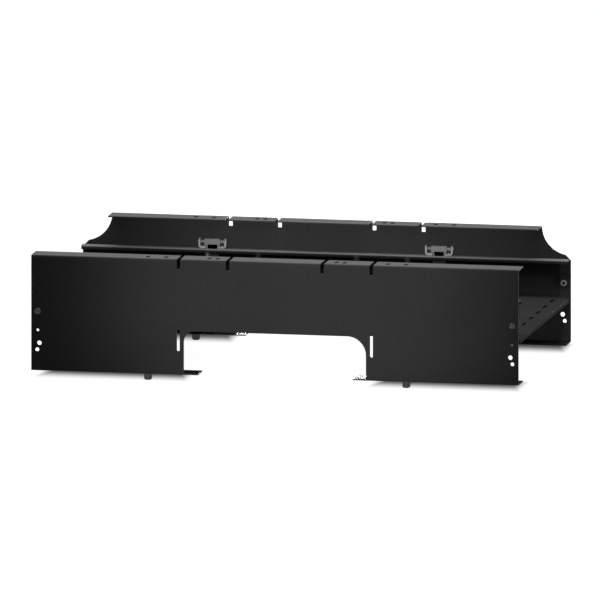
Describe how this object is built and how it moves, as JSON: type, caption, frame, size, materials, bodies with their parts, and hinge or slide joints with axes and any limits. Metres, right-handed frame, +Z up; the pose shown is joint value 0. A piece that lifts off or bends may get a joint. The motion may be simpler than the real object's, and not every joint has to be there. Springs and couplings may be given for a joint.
{
  "type": "cable trough",
  "caption": "Open sheet-steel cable trough for an enclosure roof: flanged walls with foot openings carry a folded cable pan with spring latches and stand on locating pins.",
  "frame": {"origin": "middle of the footprint, level with the lower ends of the locating pins", "axes": "+X along the trough to the right, +Y to the rear wall, which carries the latches, +Z up"},
  "size_m": [0.598, 0.3356, 0.15],
  "materials": {
    "black_powder_coat": "fine textured powder coat, semi-gloss",
    "black_steel": "black passivated steel",
    "zinc_plated_steel": "dull zinc plating",
    "grey_cast_zinc": "grey coated casting",
    "spring_steel": "drawn spring wire"
  },
  "bodies": {
    "trough": {"front_wall": "black_powder_coat", "rear_wall": "black_powder_coat", "cable_pan": "black_powder_coat", "latch_rivets": "zinc_plated_steel", "latch_bracket_left": "zinc_plated_steel", "latch_pin_left": "zinc_plated_steel", "latch_spring_left": "spring_steel", "roof_pin_front_left": "black_steel", "end_screw_front_left": "black_steel", "end_nut_front_left": "zinc_plated_steel", "roof_pin_rear_left": "black_steel", "end_screw_rear_left": "black_steel", "end_nut_rear_left": "zinc_plated_steel", "latch_bracket_right": "zinc_plated_steel", "latch_pin_right": "zinc_plated_steel", "latch_spring_right": "spring_steel", "roof_pin_front_right": "black_steel", "end_screw_front_right": "black_steel", "end_nut_front_right": "zinc_plated_steel", "roof_pin_rear_right": "black_steel", "end_screw_rear_right": "black_steel", "end_nut_rear_right": "zinc_plated_steel"},
    "latch_left": {"latch_lever_left": "grey_cast_zinc"},
    "latch_right": {"latch_lever_right": "grey_cast_zinc"}
  },
  "joints": [
    {"name": "latch_left_pivot", "type": "hinge", "parent": "trough", "child": "latch_left", "pos_m": [-0.139, 0.156, 0.1193], "axis": [-1, 0, 0], "range_deg": [0, 16], "stiffness_Nm_per_rad": 0.01, "springref_deg": -20.05, "deforming": ["latch_spring_left"]},
    {"name": "latch_right_pivot", "type": "hinge", "parent": "trough", "child": "latch_right", "pos_m": [0.139, 0.156, 0.1193], "axis": [-1, 0, 0], "range_deg": [0, 16], "stiffness_Nm_per_rad": 0.01, "springref_deg": -20.05, "deforming": ["latch_spring_right"]}
  ]
}
